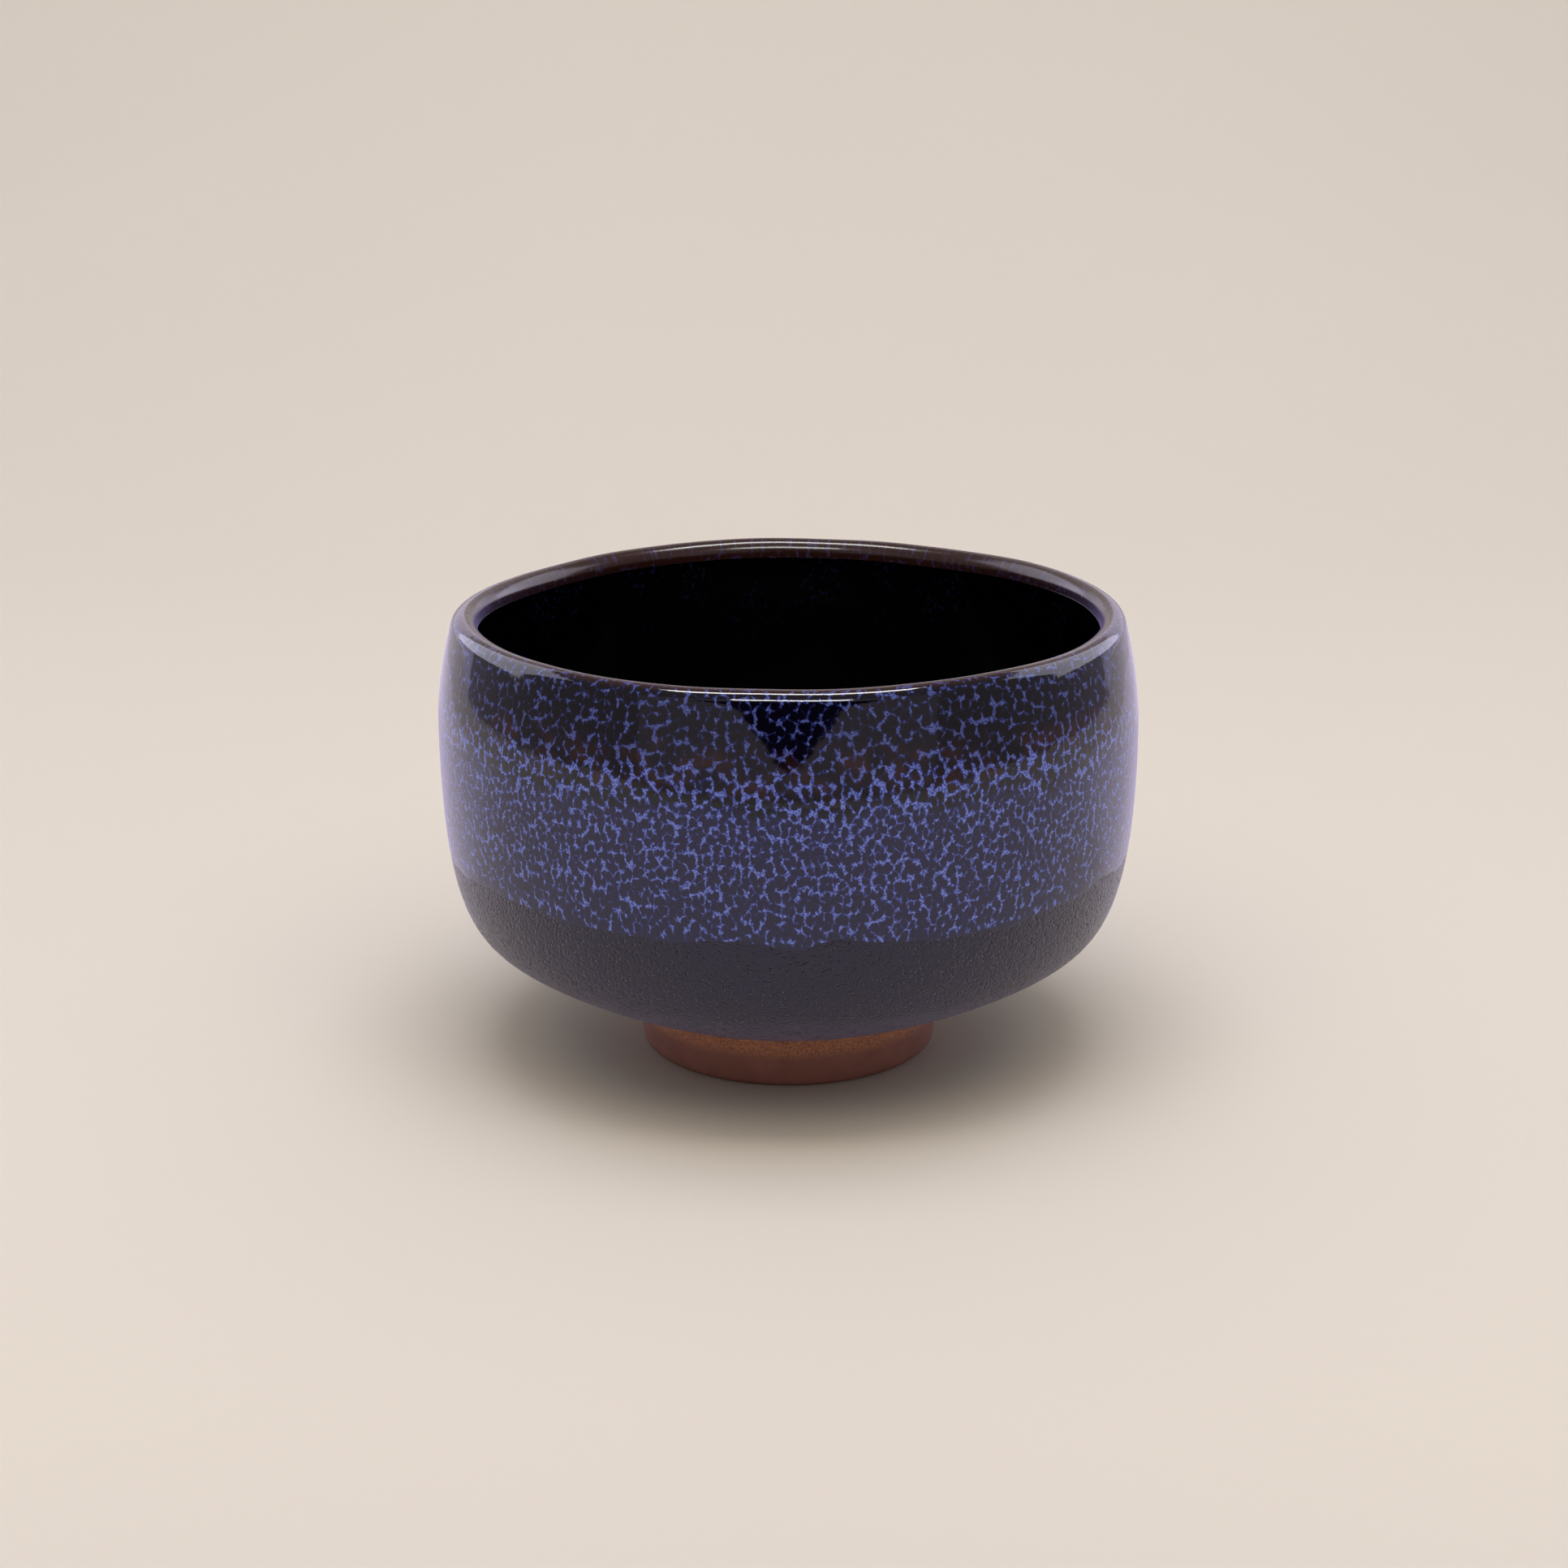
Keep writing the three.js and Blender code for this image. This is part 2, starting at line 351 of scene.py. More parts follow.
# Iron-blue glaze broken into a net: dark round cells held in pale blue threads, under thick clear glass.
def makeWebGlaze(name, look):
    material, tree, shader = newMaterial(name, {
        "IOR": 1.52,
        "Sheen Weight": 0.55,
        "Sheen Roughness": 0.3,
        "Sheen Tint": linearColour(look["bloom"]),
    })
    wall = wallCoordinates(tree)
    place, sheet, radius = wall["place"], wall["sheet"], wall["radius"]
    top = bowlShape["height"] / millimetre
    rimEdge = rimBox[0].z / millimetre
    fadeEdge = webBox[0].z / millimetre
    drift = addNode(tree, "TexNoise", None, {"Vector": place, "Scale": 1 / look["drift"], "Detail": 3.0})
    centredDrift = addNode(tree, "Math", minus, [drift, 0.5])
    height = addNode(tree, "Math", timesPlus, [centredDrift, look["driftBy"], wall["z"]])
    isRim = addNode(tree, "MapRange", smoothly, [height, rimEdge - 1.0, rimEdge + 1.5])

    # the threads wander, so no cell is a ruled polygon
    wobble = addNode(tree, "TexNoise", None,
                     {"Vector": sheet, "Scale": 1 / look["bend"], "Detail": 3.0, "Roughness": 0.6})
    strays = wobble.outputs["Color"]
    centred = addNode(tree, "VectorMath", minus, [strays, (0.5, 0.5, 0.5)])
    bent = addNode(tree, "VectorMath", timesPlus,
                   [centred, (look["bendBy"], look["bendBy"], 0.0), sheet])
    coarse = netOfThreads(tree, bent, look["rimCell"], look["cellStretch"]["rim"])
    fine = netOfThreads(tree, bent, look["wallCell"], look["cellStretch"]["wall"])
    net = addNode(tree, "Mix", asNumber, {0: isRim, 2: fine, 3: coarse})

    # fullest at the rim band's lower border, gone at the matt coat
    along = addNode(tree, "MapRange", None, [height, fadeEdge - 0.5, top])
    density = addNode(tree, "ValToRGB", None, [along])
    ramp = density.color_ramp
    for end, position in zip(ramp.elements, (0.0, 1.0)):
        end.position = position
        end.color = (threadDensity[position],) * 3 + (1,)
    for position in sorted(threadDensity)[1:-1]:
        ramp.elements.new(position).color = (threadDensity[position],) * 3 + (1,)
    drawn = addNode(tree, "Mapping", None, {"Vector": sheet, "Scale": (1, 0.65, 1)})
    patch = addNode(tree, "TexNoise", None, {"Vector": drawn, "Scale": 1 / look["patch"], "Detail": 1.0})
    cloud = addNode(tree, "TexNoise", None, {"Vector": sheet, "Scale": 1 / look["cloud"], "Detail": 2.0})
    centredPatch = addNode(tree, "Math", minus, [patch, 0.5])
    centredCloud = addNode(tree, "Math", minus, [cloud, 0.5])
    thinning = addNode(tree, "Math", times, [centredCloud, 0.3])
    plenty = addNode(tree, "Math", timesPlus, [centredPatch, 1.35, thinning])
    plenty = addNode(tree, "Math", timesPlus, [density, 0.24, plenty])
    level = addNode(tree, "Math", minus, [plenty, 0.39])
    over = addNode(tree, "Math", {"operation": "ADD"}, [net, level])
    haze = addNode(tree, "MapRange", smoothly, [over, -0.17, 0.05])
    body = addNode(tree, "MapRange", smoothly, [over, -0.02, 0.17])
    thickness = addNode(tree, "Math", timesPlus, [body, 0.65, 0.35])
    cover = addNode(tree, "Math", times, [haze, thickness])

    # near the lip the net sinks deeper in the glass, and it stops on the lip's crown
    nearLip = addNode(tree, "MapRange", smoothly, [height, rimEdge + 4, rimEdge + 9])
    deep = addNode(tree, "Math", timesPlus, [nearLip, -0.5, 1.0])
    crownFrom, crownTo = look["lipRadius"]
    crown = addNode(tree, "MapRange", smoothly, [radius, crownTo, crownFrom])
    onCrown = addNode(tree, "Math", timesPlus, [crown, -0.75, 1.0])
    left = addNode(tree, "Math", times, [deep, onCrown])
    cover = addNode(tree, "Math", times, [cover, left])

    # iron shows brown where the glaze runs thin: along the rim band's border and on the lip
    above = addNode(tree, "MapRange", smoothly, [height, rimEdge + 2, rimEdge + 4])
    below = addNode(tree, "MapRange", smoothly, [height, rimEdge + 12, rimEdge + 7])
    border = addNode(tree, "Math", times, [above, below])
    blotches = addNode(tree, "MapRange", smoothly, [cloud, 0.4, 0.7])
    rusty = addNode(tree, "Math", times, [border, blotches])
    onLip = addNode(tree, "MapRange", smoothly, [radius, 57.0, 55.8])
    brown = addNode(tree, "Math", {"operation": "MAXIMUM"}, [rusty, onLip])
    ground = addNode(tree, "Mix", asColour,
                     {0: isRim, 6: linearColour(look["wallGround"]), 7: linearColour(look["rimGround"])})
    ground = addNode(tree, "Mix", asColour, {0: brown, 6: ground, 7: linearColour(look["iron"])})
    grain = addNode(tree, "TexNoise", None, {"Vector": sheet, "Scale": 1 / look["grain"], "Detail": 1.0})
    grainy = addNode(tree, "MapRange", smoothly, [grain, 0.35, 0.62])
    milk = addNode(tree, "Math", times, [body, grainy])
    blue = addNode(tree, "Mix", asColour,
                   {0: milk, 6: linearColour(look["thread"]), 7: linearColour(look["milk"])})
    colour = addNode(tree, "Mix", asColour, {0: cover, 6: ground, 7: blue})

    # the rim band is like glass; the middle band is softer
    glassAbove = addNode(tree, "MapRange", smoothly, [height, rimEdge + 1, rimEdge + 6])
    glassOutside = addNode(tree, "MapRange", smoothly, [radius, 53.5, 55.5])
    isGlass = addNode(tree, "Math", times, [glassAbove, glassOutside])
    gain = look["rimRoughness"] - look["wallRoughness"]
    gloss = addNode(tree, "Math", timesPlus, [isGlass, gain, look["wallRoughness"]])
    roughness = addNode(tree, "Math", timesPlus, [cover, 0.06, gloss])
    roll = addNode(tree, "TexNoise", None, {"Vector": place, "Scale": 1 / look["roll"], "Detail": 1.0})
    relief = addNode(tree, "Math", timesPlus, [cover, 0.25, roll])
    bump = addNode(tree, "Bump", None, {"Strength": 0.4, "Distance": 0.05 * millimetre, "Height": relief})
    connect(tree, shader, {"Base Color": colour, "Roughness": roughness, "Normal": bump})
    return material


mattLook = {
    "base": "#1b1940",
    "deep": "#16142e",
    "edge": "#4a2219",
    "bloom": "#ccc6ec",
    "pinhole": "#8d8577",
    "peel": 0.5,  # between the smallest pebbles
    "pebbles": 1.5,
    "pits": 0.9,
    "pinholes": 5.5,
    "cloud": 7.0,
    "drift": 5.0,  # the thin edge rises and falls over this length
    "driftBy": 1.2,
    "roughness": (0.24, 0.32),
}


# Matt blue-black magnesium glaze: satin, pebbled like orange peel, red-brown where it thins at the foot.
def makeMattGlaze(name, look):
    material, tree, shader = newMaterial(name, {
        "IOR": 1.5,
        "Sheen Weight": 0.42,
        "Sheen Roughness": 0.35,
        "Sheen Tint": linearColour(look["bloom"]),
    })
    wall = wallCoordinates(tree)
    place = wall["place"]
    cloudy = addNode(tree, "TexNoise", None, {"Vector": place, "Scale": 1 / look["cloud"], "Detail": 4.0})
    colour = addNode(tree, "Mix", asColour,
                     {0: cloudy, 6: linearColour(look["deep"]), 7: linearColour(look["base"])})
    footTop = bowlShape["footHeight"] / millimetre
    drift = addNode(tree, "TexNoise", None, {"Vector": place, "Scale": 1 / look["drift"], "Detail": 2.0})
    centredDrift = addNode(tree, "Math", minus, [drift, 0.5])
    height = addNode(tree, "Math", timesPlus, [centredDrift, look["driftBy"], wall["z"]])
    thin = addNode(tree, "MapRange", smoothly, [height, footTop + 2.2, footTop + 0.5])
    colour = addNode(tree, "Mix", asColour, {0: thin, 6: colour, 7: linearColour(look["edge"])})
    dots = addNode(tree, "TexVoronoi", None, {"Vector": place, "Scale": 1 / look["pinholes"]})
    pinhole = addNode(tree, "MapRange", smoothly, [dots, 0.028, 0.018])
    colour = addNode(tree, "Mix", asColour, {0: pinhole, 6: colour, 7: linearColour(look["pinhole"])})
    smooth, rough = look["roughness"]
    satin = addNode(tree, "Math", timesPlus, [cloudy, rough - smooth, smooth])

    # orange peel: low pebbles with pits between them
    fine = addNode(tree, "TexNoise", None, {"Vector": place, "Scale": 1 / look["peel"], "Detail": 1.5})
    coarse = addNode(tree, "TexNoise", None, {"Vector": place, "Scale": 1 / look["pebbles"], "Detail": 1.0})
    pits = addNode(tree, "TexVoronoi", None, {"Vector": place, "Scale": 1 / look["pits"]})
    pitted = addNode(tree, "MapRange", smoothly, [pits, 0.1, 0.36])
    relief = addNode(tree, "Math", timesPlus, [coarse, 0.5, fine])
    relief = addNode(tree, "Math", timesPlus, [pitted, 1.3, relief])
    bump = addNode(tree, "Bump", None, {"Strength": 1.0, "Distance": 0.23 * millimetre, "Height": relief})
    connect(tree, shader, {"Base Color": colour, "Roughness": satin, "Normal": bump})
    return material


linerLook = {
    "deep": "#020204",
    "blue": "#141a38",
    "wallRoughness": 0.1,
    "floorRoughness": 0.5,
    "pooledBelow": (26, 40),  # the glaze dulls between these heights, where it pooled
    "speck": 0.8,
    "patch": 10.0,
    "roll": 3.0,
}


# Thick tenmoku glaze inside: near black and glassy, with a few blue specks under the lip.
def makeLinerGlaze(name, look):
    material, tree, shader = newMaterial(name, {"IOR": 1.52, "Specular IOR Level": 0.15})
    wall = wallCoordinates(tree)
    place = wall["place"]
    low, high = look["pooledBelow"]
    pooled = addNode(tree, "MapRange", smoothly, [wall["z"], high, low])
    gain = look["floorRoughness"] - look["wallRoughness"]
    roughness = addNode(tree, "Math", timesPlus, [pooled, gain, look["wallRoughness"]])
    speck = addNode(tree, "TexNoise", None, {"Vector": place, "Scale": 1 / look["speck"], "Detail": 2.0})
    patch = addNode(tree, "TexNoise", None, {"Vector": place, "Scale": 1 / look["patch"], "Detail": 2.0})
    specks = addNode(tree, "MapRange", smoothly, [speck, 0.56, 0.66])
    patches = addNode(tree, "MapRange", smoothly, [patch, 0.42, 0.62])
    nearLip = addNode(tree, "MapRange", smoothly, [wall["z"], 52, 76])
    amount = addNode(tree, "Math", times, [specks, patches])
    amount = addNode(tree, "Math", times, [amount, nearLip])
    colour = addNode(tree, "Mix", asColour,
                     {0: amount, 6: linearColour(look["deep"]), 7: linearColour(look["blue"])})
    roll = addNode(tree, "TexNoise", None, {"Vector": place, "Scale": 1 / look["roll"], "Detail": 1.0})
    bump = addNode(tree, "Bump", None, {"Strength": 0.3, "Distance": 0.06 * millimetre, "Height": roll})
    connect(tree, shader, {"Base Color": colour, "Roughness": roughness, "Normal": bump})
    return material


clayLook = {
    "base": "#ac7468",
    "dark": "#86564a",
    "toast": "#cb8c66",
    "grog": "#c39878",
    "cloud": 6.0,
    "grain": 0.35,
    "speckle": 0.45,
    "toastBand": (4.2, 2.2),  # below the glaze's edge
    "roughness": (0.62, 0.82),
    "markSpacing": 0.625,  # between turning marks
    "markLength": 16.7,
}


# Bare red-brown stoneware: dry, fine grained, toasted orange where the glaze stopped.
def makeClay(name, look):
    material, tree, shader = newMaterial(name, {"IOR": 1.45})
    wall = wallCoordinates(tree)
    place = wall["place"]
    cloudy = addNode(tree, "TexNoise", None, {"Vector": place, "Scale": 1 / look["cloud"], "Detail": 4.0})
    grain = addNode(tree, "TexNoise", None, {"Vector": place, "Scale": 1 / look["grain"], "Detail": 2.0})
    colour = addNode(tree, "Mix", asColour,
                     {0: cloudy, 6: linearColour(look["dark"]), 7: linearColour(look["base"])})
    footTop = bowlShape["footHeight"] / millimetre
    start, full = (footTop - depth for depth in look["toastBand"])
    speckle = addNode(tree, "TexNoise", None, {"Vector": place, "Scale": 1 / look["speckle"], "Detail": 3.0})
    speckled = addNode(tree, "MapRange", smoothly, [speckle, 0.28, 0.68])
    nearGlaze = addNode(tree, "MapRange", smoothly, [wall["z"], start, full])
    toasted = addNode(tree, "Math", times, [nearGlaze, speckled])
    colour = addNode(tree, "Mix", asColour, {0: toasted, 6: colour, 7: linearColour(look["toast"])})
    grogDots = addNode(tree, "MapRange", smoothly, [grain, 0.66, 0.74])
    faint = addNode(tree, "Math", times, [grogDots, 0.35])
    colour = addNode(tree, "Mix", asColour, {0: faint, 6: colour, 7: linearColour(look["grog"])})
    smooth, rough = look["roughness"]
    dry = addNode(tree, "Math", timesPlus, [grain, rough - smooth, smooth])
    # turning marks run round the ring: noise squeezed along Z
    squeeze = (1 / look["markLength"], 1 / look["markLength"], 1 / look["markSpacing"])
    squeezed = addNode(tree, "Mapping", None, {"Vector": place, "Scale": squeeze})
    marks = addNode(tree, "TexNoise", None, {"Vector": squeezed, "Scale": 1.0, "Detail": 2.0})
    relief = addNode(tree, "Math", timesPlus, [marks, 1.2, grain])
    bump = addNode(tree, "Bump", None, {"Strength": 0.7, "Distance": 0.1 * millimetre, "Height": relief})
    connect(tree, shader, {"Base Color": colour, "Roughness": dry, "Normal": bump})
    return material


smoothing = {"levels": 2, "render_levels": 2, "subdivision_type": "CATMULL_CLARK"}


# Matt lower coat, with a rolled edge where it stops above the foot.
mattCoatSettings = {
    "steps": 160,
    "rows": 22,
    "setback": 0.5 * millimetre,  # bare clay left above the foot's shoulder
    "overlap": 2.5 * millimetre,  # it runs on under the speckled coat
    "tuck": 0.05 * millimetre,
    "edgeRoll": 0.24 * millimetre,
    "pebbleSize": 0.9 * millimetre,
    "pebbleHeight": 0.07 * millimetre,
    "edgeSway": 9 * millimetre,  # the edge rises and falls over this length
    "edgeSwayBy": 0.56 * millimetre,
}


def makeMattCoat(settings, material):
    start = settings["setback"]
    end = lengthAtHeight(webBox[0].z) + settings["overlap"]
    coat = bowlShape["coat"]
    sunk = lambda share: settings["tuck"] * blendBetween(share, 0.9, 0.98)
    points = outlineStretch(start, end, settings["rows"], sunk)
    lowest, along = outlineAt(start)
    inward = Vector((-along.z, 0, along.x))
    rolled = [lowest + inward * coat * depth - along * settings["edgeRoll"] for depth in (0.25, 0.7)]
    behind = outlineStretch(end, start, 6, lambda share: coat)
    profile = points + behind + rolled[::-1] + [points[0]]
    piece = spinProfile("mattCoat", profile, settings["steps"])
    applyModifier(piece, "SUBSURF", **smoothing)
    throwByHand(piece)
    pebbles = makeClouds("pebbles", settings["pebbleSize"])
    weigh(piece, "peel", lambda p: blendBetween(p.z, mattBox[0].z, mattBox[0].z + 4 * millimetre))
    applyModifier(piece, "DISPLACE", texture=pebbles, strength=settings["pebbleHeight"],
                  mid_level=0.6, vertex_group="peel")
    edge = makeClouds("mattEdge", settings["edgeSway"])
    weigh(piece, "edge", lambda p: blendBetween(p.z, mattBox[0].z + 3 * millimetre, mattBox[0].z))
    applyModifier(piece, "DISPLACE", texture=edge, strength=settings["edgeSwayBy"],
                  mid_level=0.4, direction="Z", vertex_group="edge")
    finishPiece(piece, "root", "base_glaze", material)


# Speckled middle coat, laid over the matt one with a thin wandering edge.
webCoatSettings = {
    "steps": 128,
    "rows": 16,
    "overlap": 2.5 * millimetre,
    "tuck": 0.05 * millimetre,
    "edgeSway": 11 * millimetre,
    "edgeSwayBy": 2.4 * millimetre,
}


def makeWebCoat(settings, material):
    start = lengthAtHeight(webBox[0].z)
    end = lengthAtHeight(rimBox[0].z) + settings["overlap"]
    coat = bowlShape["coat"]
    feather = lambda share: (settings["tuck"] * (1 - blendBetween(share, 0.0, 0.05))
                             + settings["tuck"] * blendBetween(share, 0.9, 0.99))
    points = outlineStretch(start, end, settings["rows"], feather)
    behind = outlineStretch(end, start, 5, lambda share: coat)
    piece = spinProfile("speckledCoat", points + behind + [points[0]], settings["steps"])
    applyModifier(piece, "SUBSURF", **smoothing)
    throwByHand(piece)
    edge = makeClouds("webEdge", settings["edgeSway"])
    weigh(piece, "edge", lambda p: blendBetween(p.z, webBox[0].z + 4 * millimetre, webBox[0].z))
    applyModifier(piece, "DISPLACE", texture=edge, strength=settings["edgeSwayBy"],
                  mid_level=0.5, direction="Z", vertex_group="edge")
    finishPiece(piece, "root", "speckled_glaze", material)


# Glossy rim coat, carried over the lip and a little way down inside.
rimCoatSettings = {"steps": 112, "tuck": 0.02 * millimetre, "lipReach": 4.5 * millimetre}


def makeRimCoat(settings, material):
    start = lengthAtHeight(rimBox[0].z)
    end = lengthAtHeight(linerBox[1].z, inside=True)
    crest = lengths[crestIndex]
    coat = bowlShape["coat"]
    lipFrom, lipTo = crest - settings["lipReach"], crest + settings["lipReach"]
    level = lambda share: 0
    rising = lambda share: settings["tuck"] * (1 - blendBetween(share, 0.0, 0.15))
    points = outlineStretch(start, lipFrom, 10, rising)
    points += outlineStretch(lipFrom, lipTo, 17, level)[1:]
    points += outlineStretch(lipTo, end, 3, level)[1:]
    behind = outlineStretch(end, start, 12, lambda share: coat)
    piece = spinProfile("rimCoat", points + behind + [points[0]], settings["steps"])
    applyModifier(piece, "SUBSURF", **smoothing)
    throwByHand(piece)
    finishPiece(piece, "root", "rim_glaze", material)


# Liner coat: the inside wall, the bank of the tea well and the floor.
linerSettings = {
    "steps": 128,
    "rows": 22,
    "overlap": 1.2 * millimetre,
    "tuck": 0.03 * millimetre,
    "ringSpacing": 6 * millimetre,  # the potter's fingers leave low waves
    "ringHeight": 0.02 * millimetre,
}


def makeLinerCoat(settings, material):
    start = lengthAtHeight(linerBox[1].z, inside=True) - settings["overlap"]
    end = lengths[-1]
    coat = bowlShape["coat"]
    sunk = lambda share: settings["tuck"] * (1 - blendBetween(share, 0.0, 0.03))
    behind = outlineStretch(end, start, 10, lambda share: coat)
    points = outlineStretch(start, end, settings["rows"], sunk)
    piece = spinProfile("insideCoat", behind + points, settings["steps"])
    applyModifier(piece, "SUBSURF", **smoothing)
    throwByHand(piece)
    rings = makeClouds("throwingRings", settings["ringSpacing"])
    applyModifier(piece, "DISPLACE", texture=rings, strength=settings["ringHeight"], mid_level=0.5)
    finishPiece(piece, "root", "liner_glaze", material)


# Foot ring: turned, with a rounded base and a small ledge under the glaze.
footSettings = {
    "steps": 128,
    "wall": 6.4 * millimetre,
    "taper": 0.3 * millimetre,
    "round": 1.8 * millimetre,
    "roundInside": 0.9 * millimetre,
    "groove": 0.38 * millimetre,  # turned in under the ledge where the glaze stops
    "ridgeHeight": 0.9 * millimetre,
    "roughSize": 2.5 * millimetre,
    "roughHeight": 0.12 * millimetre,
}


def makeFootRing(settings, material):
    outer, top = bowlShape["footRadius"], bowlShape["footHeight"]
    inner = outer - settings["wall"]
    base = outer - settings["taper"]
    big, small = settings["round"], settings["roundInside"]
    centre = Vector((base - big, 0, big))
    corner = [centre + slopeDirection(-90 + 90 * i / 5) * big for i in range(6)]
    wall = [Vector((base + (outer - base) * s, 0, big + (top - big) * s)) for s in (0.2, 0.4, 0.55)]
    groove, ridge = settings["groove"], settings["ridgeHeight"]
    ledgeTurns = ((groove, 2), (groove, 1.5), (0, 1.1), (0, 0.4), (groove, 0))
    ledge = [Vector((outer - depth, 0, top - drop * ridge)) for depth, drop in ledgeTurns]
    inside = [Vector((inner, 0, top)), Vector((inner, 0, 0.6 * top)), Vector((inner, 0, 2 * small))]
    innerCentre = Vector((inner + small, 0, small))
    innerCorner = [innerCentre + slopeDirection(180 + 90 * i / 4) * small for i in range(5)]
    flat = [Vector((inner + 2 * small, 0, 0)), Vector((base - 1.5 * big, 0, 0))]
    profile = corner + wall + ledge + inside + innerCorner + flat + [corner[0]]
    piece = spinProfile("footRing", profile, settings["steps"])
    applyModifier(piece, "SUBSURF", **smoothing)
    rough = makeClouds("footRough", settings["roughSize"], depth=2)
    weigh(piece, "aboveBase", lambda p: blendBetween(p.z, 0.1 * millimetre, 1.2 * millimetre))
    applyModifier(piece, "DISPLACE", texture=rough, strength=settings["roughHeight"],
                  mid_level=0.6, vertex_group="aboveBase")
    finishPiece(piece, "root", "foot_ring", material)


# The thrown clay under the coats; it shows above the foot and inside the foot's recess.
claySettings = {"steps": 96, "rise": 1.4 * millimetre}


def makeClayBody(settings, material):
    depth = bowlShape["coat"] + bowlShape["coatGap"]
    skin = outlineStretch(0, lengths[-1], 44, lambda share: depth)
    underside = clayBox[0].z
    inner = bowlShape["footRadius"] - footSettings["wall"]
    dome = bend(Vector((0, 0, underside + settings["rise"])), 0, 0.4, Vector((inner, 0, underside)), 0, 0.4)
    dome = dome[::6] + [Vector((inner + 2 * millimetre, 0, underside))]
    corner = [Vector((skin[0].x - 0.3 * millimetre, 0, underside)), Vector((skin[0].x, 0, underside))]
    piece = spinProfile("thrownClay", dome + corner + skin, settings["steps"])
    applyModifier(piece, "SUBSURF", levels=1, render_levels=1)
    throwByHand(piece)
    finishPiece(piece, "root", "clay_body", material)


print("materials")
rimGlaze = makeWebGlaze("glossy iron-blue web glaze", webLook)
mattGlaze = makeMattGlaze("matt blue-black glaze", mattLook)
tenmoku = makeLinerGlaze("near-black tenmoku glaze", linerLook)
stoneware = makeClay("bare toasted stoneware", clayLook)

print("pieces")
makeClayBody(claySettings, stoneware)
makeFootRing(footSettings, stoneware)
makeMattCoat(mattCoatSettings, mattGlaze)
makeWebCoat(webCoatSettings, rimGlaze)
makeRimCoat(rimCoatSettings, rimGlaze)
makeLinerCoat(linerSettings, tenmoku)


studio = {
    "paperWidth": 1.1,
    "paperFront": -0.31,  # past this edge the glossy rim mirrors the dim room
    "paperBack": 0.75,
    "paperRise": 1.1,
    "paperLean": 0.25,
    "paperCurve": 0.4,
    "paper": "#e4e2d8",
    "room": "#938a88",
    "lightAim": (0, 0, 0.05),
    "flagPlace": (0, -0.4, 0.2),
    "flagRadius": 0.2,
    "flagScale": (1.45, 0.75, 1),
}

# Lights that fall on the surfaces and don't show in the gloss.
fillLights = {
    "ceiling": {"place": (0, -0.2, 1.7), "size": (4.0, 4.0), "power": 13.0, "colour": "#f6f5ff"},
    "overhead": {"place": (0, -0.08, 1.1), "size": (0.7, 0.7), "power": 5.0, "colour": "#f6f4ff"},
    "frontFill": {"place": (0, -0.75, 1.35), "size": (2.0, 1.0), "power": 8.5, "colour": "#ffe6c6"},
}

# Tubes and a dim wall that show in the gloss only.
glossLights = {
    "tubeAbove": {"place": (0, 0.07, 0.95), "size": (0.66, 0.15), "power": 6.0, "colour": "#ffffff"},
    "tubeFront": {"place": (0, -0.78, 0.72), "size": (0.62, 0.13), "power": 5.0, "colour": "#ffffff"},
    "roomGlow": {"place": (0, -1.3, 0.45), "size": (3.0, 1.3), "power": 3.0, "colour": "#cfc4e0"},
}

# Soft panels, one on each side, that show in the gloss only. The glow lies on the paper and faces up.
sideLights = {
    "glow": {"place": (0.16, 0.18, 0.004), "size": (0.26, 0.3), "power": 0.075, "colour": "#cdc6ff",
             "aim": (0.16, 0.18, 1)},
    "edge": {"place": (0.36, 0.55, 0.12), "size": (0.6, 0.42), "power": 0.55, "colour": "#d8d2ff"},
    "soft": {"place": (1.0, 0.75, 0.65), "size": (1.7, 1.1), "power": 12.5, "colour": "#eeecff"},
}


def makePaper():
    matt = {"Roughness": 0.9, "Specular IOR Level": 0.2}
    material, tree, shader = newMaterial("matt backdrop paper", matt)
    place = addNode(tree, "TexCoord").outputs["Object"]
    mottle = addNode(tree, "TexNoise", None, {"Vector": place, "Scale": 5.0, "Detail": 3.0})
    paper = linearColour(studio["paper"])
    shade = tuple(0.97 * channel for channel in paper[:3]) + (1.0,)
    colour = addNode(tree, "Mix", asColour, {0: mottle, 6: paper, 7: shade})
    connect(tree, shader, {"Base Color": colour})
    return material


# A sheet of paper laid on the table and curved up behind.
def makeBackdrop():
    bpy.ops.object.select_all(action="DESELECT")
    front, back = studio["paperFront"], studio["paperBack"]
    bpy.ops.mesh.primitive_plane_add(size=1, location=(0, (front + back) / 2, 0))
    paper = bpy.context.object
    paper.name = "backdropPaper"
    paper.scale = (studio["paperWidth"], back - front, 1)
    bpy.ops.object.transform_apply(location=True, rotation=True, scale=True)
    for edge in paper.data.edges:
        edge.select = all(paper.data.vertices[i].co.y > back - millimetre for i in edge.vertices)
    for face in paper.data.polygons:
        face.select = False
    for vertex in paper.data.vertices:
        vertex.select = vertex.co.y > back - millimetre
    bpy.ops.object.mode_set(mode="EDIT")
    bpy.ops.mesh.select_mode(type="EDGE")
    rise = (0, studio["paperLean"], studio["paperRise"])
    bpy.ops.mesh.extrude_edges_move(TRANSFORM_OT_translate={"value": rise})
    bpy.ops.object.mode_set(mode="OBJECT")
    for edge in paper.data.edges:
        ends = [paper.data.vertices[i].co for i in edge.vertices]
        edge.select = all(abs(p.y - back) < millimetre and p.z < millimetre for p in ends)
    bpy.ops.object.mode_set(mode="EDIT")
    bpy.ops.mesh.bevel(offset=studio["paperCurve"], segments=24, affect="EDGES")
    bpy.ops.object.mode_set(mode="OBJECT")
    bpy.ops.object.shade_smooth()
    paper.data.materials.append(makePaper())


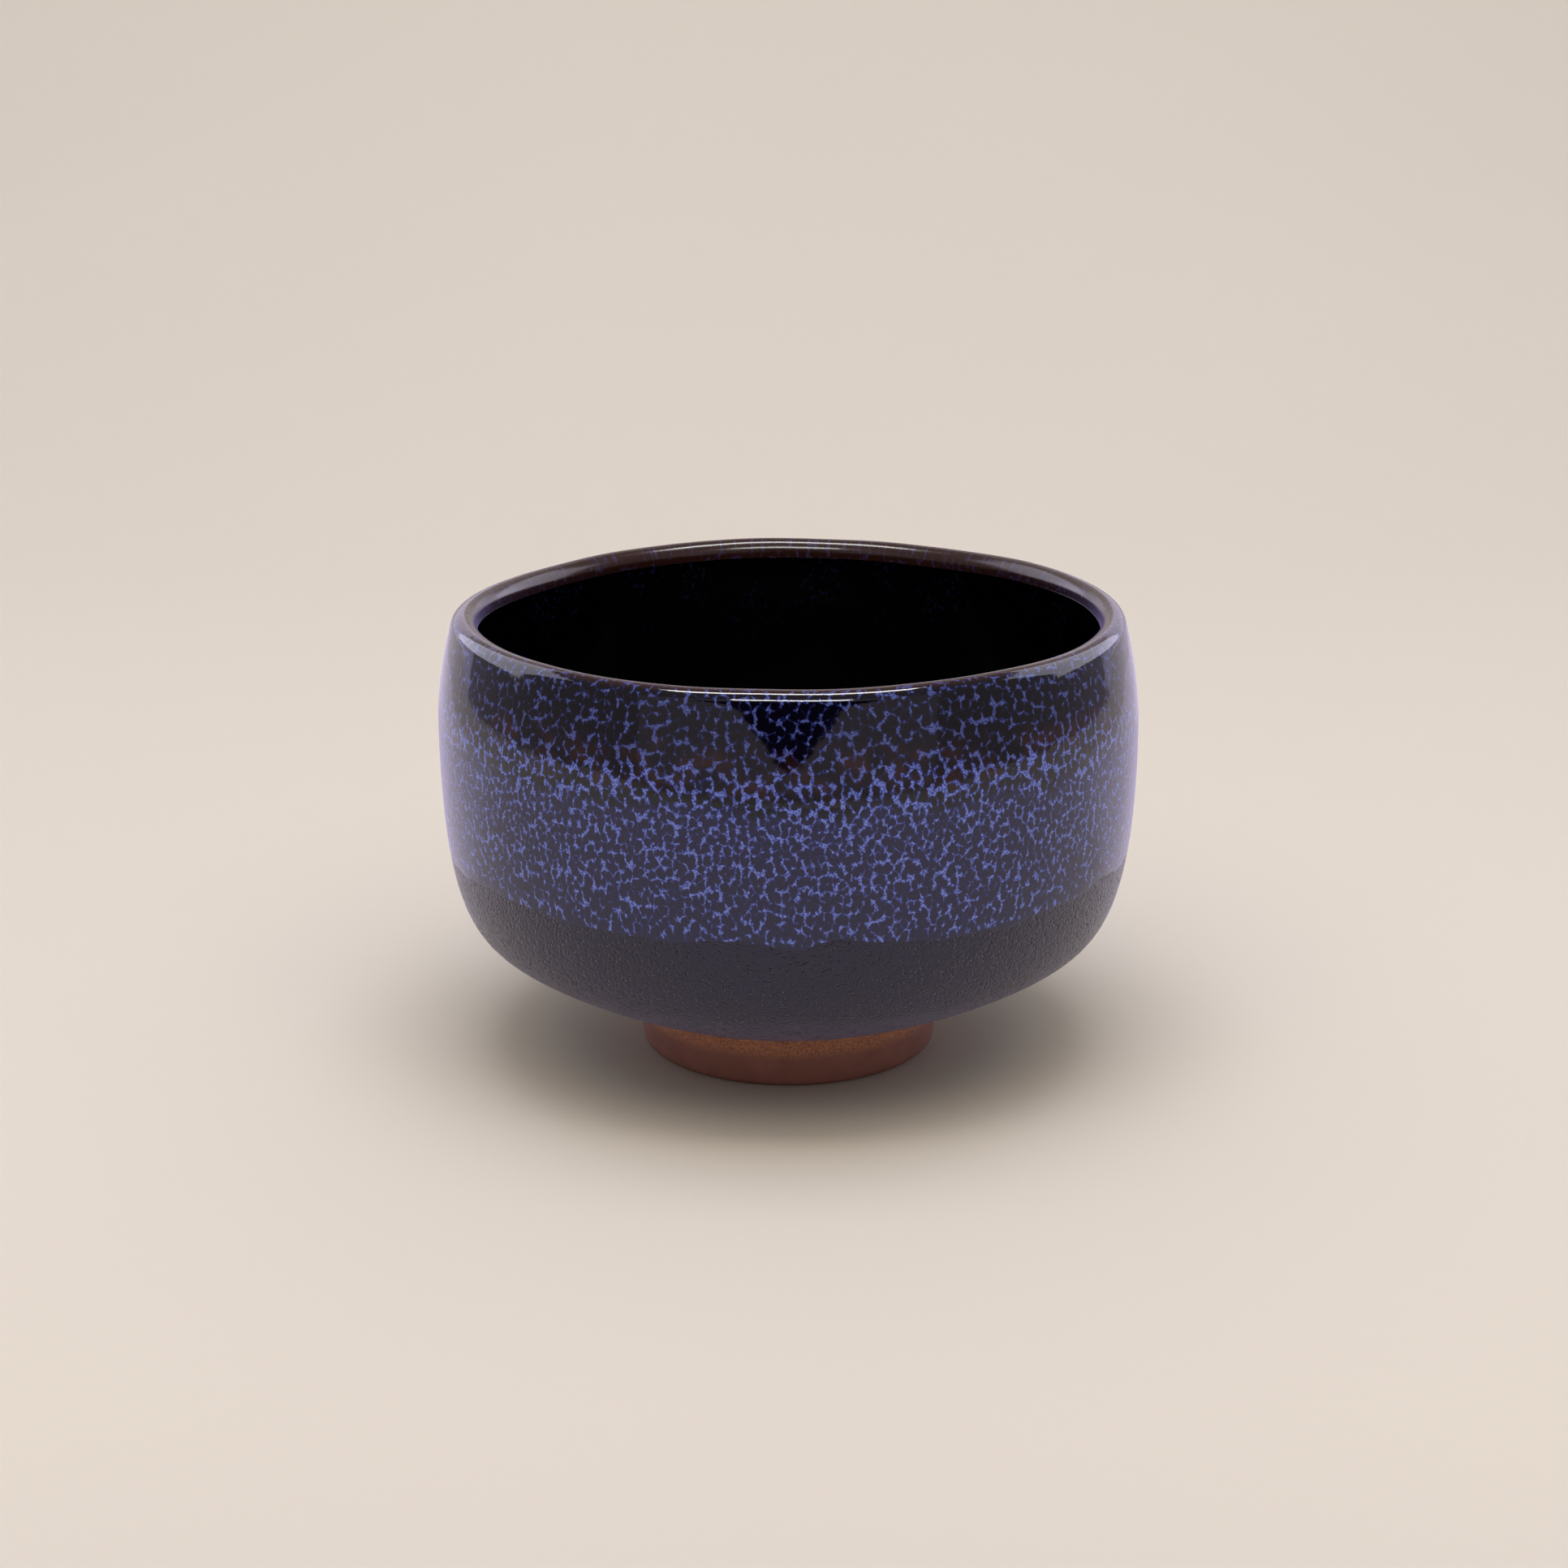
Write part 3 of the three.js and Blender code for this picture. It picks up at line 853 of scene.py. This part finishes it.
# A black flag behind the lens: it shows in the rim band as a dark wedge.
def makeFlag():
    bpy.ops.object.select_all(action="DESELECT")
    bpy.ops.mesh.primitive_circle_add(
        vertices=3, radius=studio["flagRadius"], fill_type="NGON", location=studio["flagPlace"])
    flag = bpy.context.object
    flag.name = "blackFlag"
    flag.rotation_euler = (math.radians(-90), 0, 0)
    flag.scale = studio["flagScale"]
    flag.visible_camera = False
    black = {"Base Color": linearColour("#000000"), "Roughness": 1.0, "Specular IOR Level": 0.0}
    flocking = newMaterial("black flocking", black)[0]
    flag.data.materials.append(flocking)


# The side is -1 for the mirror image of a light on the right.
def addLight(name, settings, side=1, fills=True):
    mirror = Vector((side, 1, 1))
    light = bpy.data.lights.new(name, "AREA")
    light.shape = "RECTANGLE"
    light.size, light.size_y = settings["size"]
    light.energy = settings["power"]
    light.color = linearColour(settings["colour"])[:3]
    lamp = bpy.data.objects.new(name, light)
    lamp.location = Vector(settings["place"]) * mirror
    aim = Vector(settings.get("aim", studio["lightAim"])) * mirror
    lamp.rotation_euler = (aim - lamp.location).to_track_quat("-Z", "Y").to_euler()
    lamp.visible_glossy = not fills
    lamp.visible_diffuse = fills
    lamp.visible_camera = False
    bpy.context.collection.objects.link(lamp)


cameraSettings = {
    "place": (0, -0.5071, 0.1982),
    "aim": (-0.0008, 0, 0.0462),
    "lens": 70.13,
}


def addCamera(settings):
    data = bpy.data.cameras.new("camera")
    data.lens = settings["lens"]
    data.sensor_width = 36
    camera = bpy.data.objects.new("camera", data)
    camera.location = settings["place"]
    direction = Vector(settings["aim"]) - camera.location
    camera.rotation_euler = direction.to_track_quat("-Z", "Y").to_euler()
    bpy.context.collection.objects.link(camera)
    bpy.context.scene.camera = camera


print("backdrop, lights and camera")
makeBackdrop()
makeFlag()
for name, settings in fillLights.items():
    addLight(name, settings)
for name, settings in glossLights.items():
    addLight(name, settings, fills=False)
for name, settings in sideLights.items():
    addLight(name + "Left", settings, side=-1, fills=False)
    addLight(name + "Right", settings, fills=False)
addCamera(cameraSettings)
world = bpy.data.worlds.new("room")
bpy.context.scene.world = world
world.use_nodes = True
background = world.node_tree.nodes["Background"]
background.inputs["Color"].default_value = linearColour(studio["room"])
background.inputs["Strength"].default_value = 1.0
bpy.context.scene.view_settings.view_transform = "Standard"
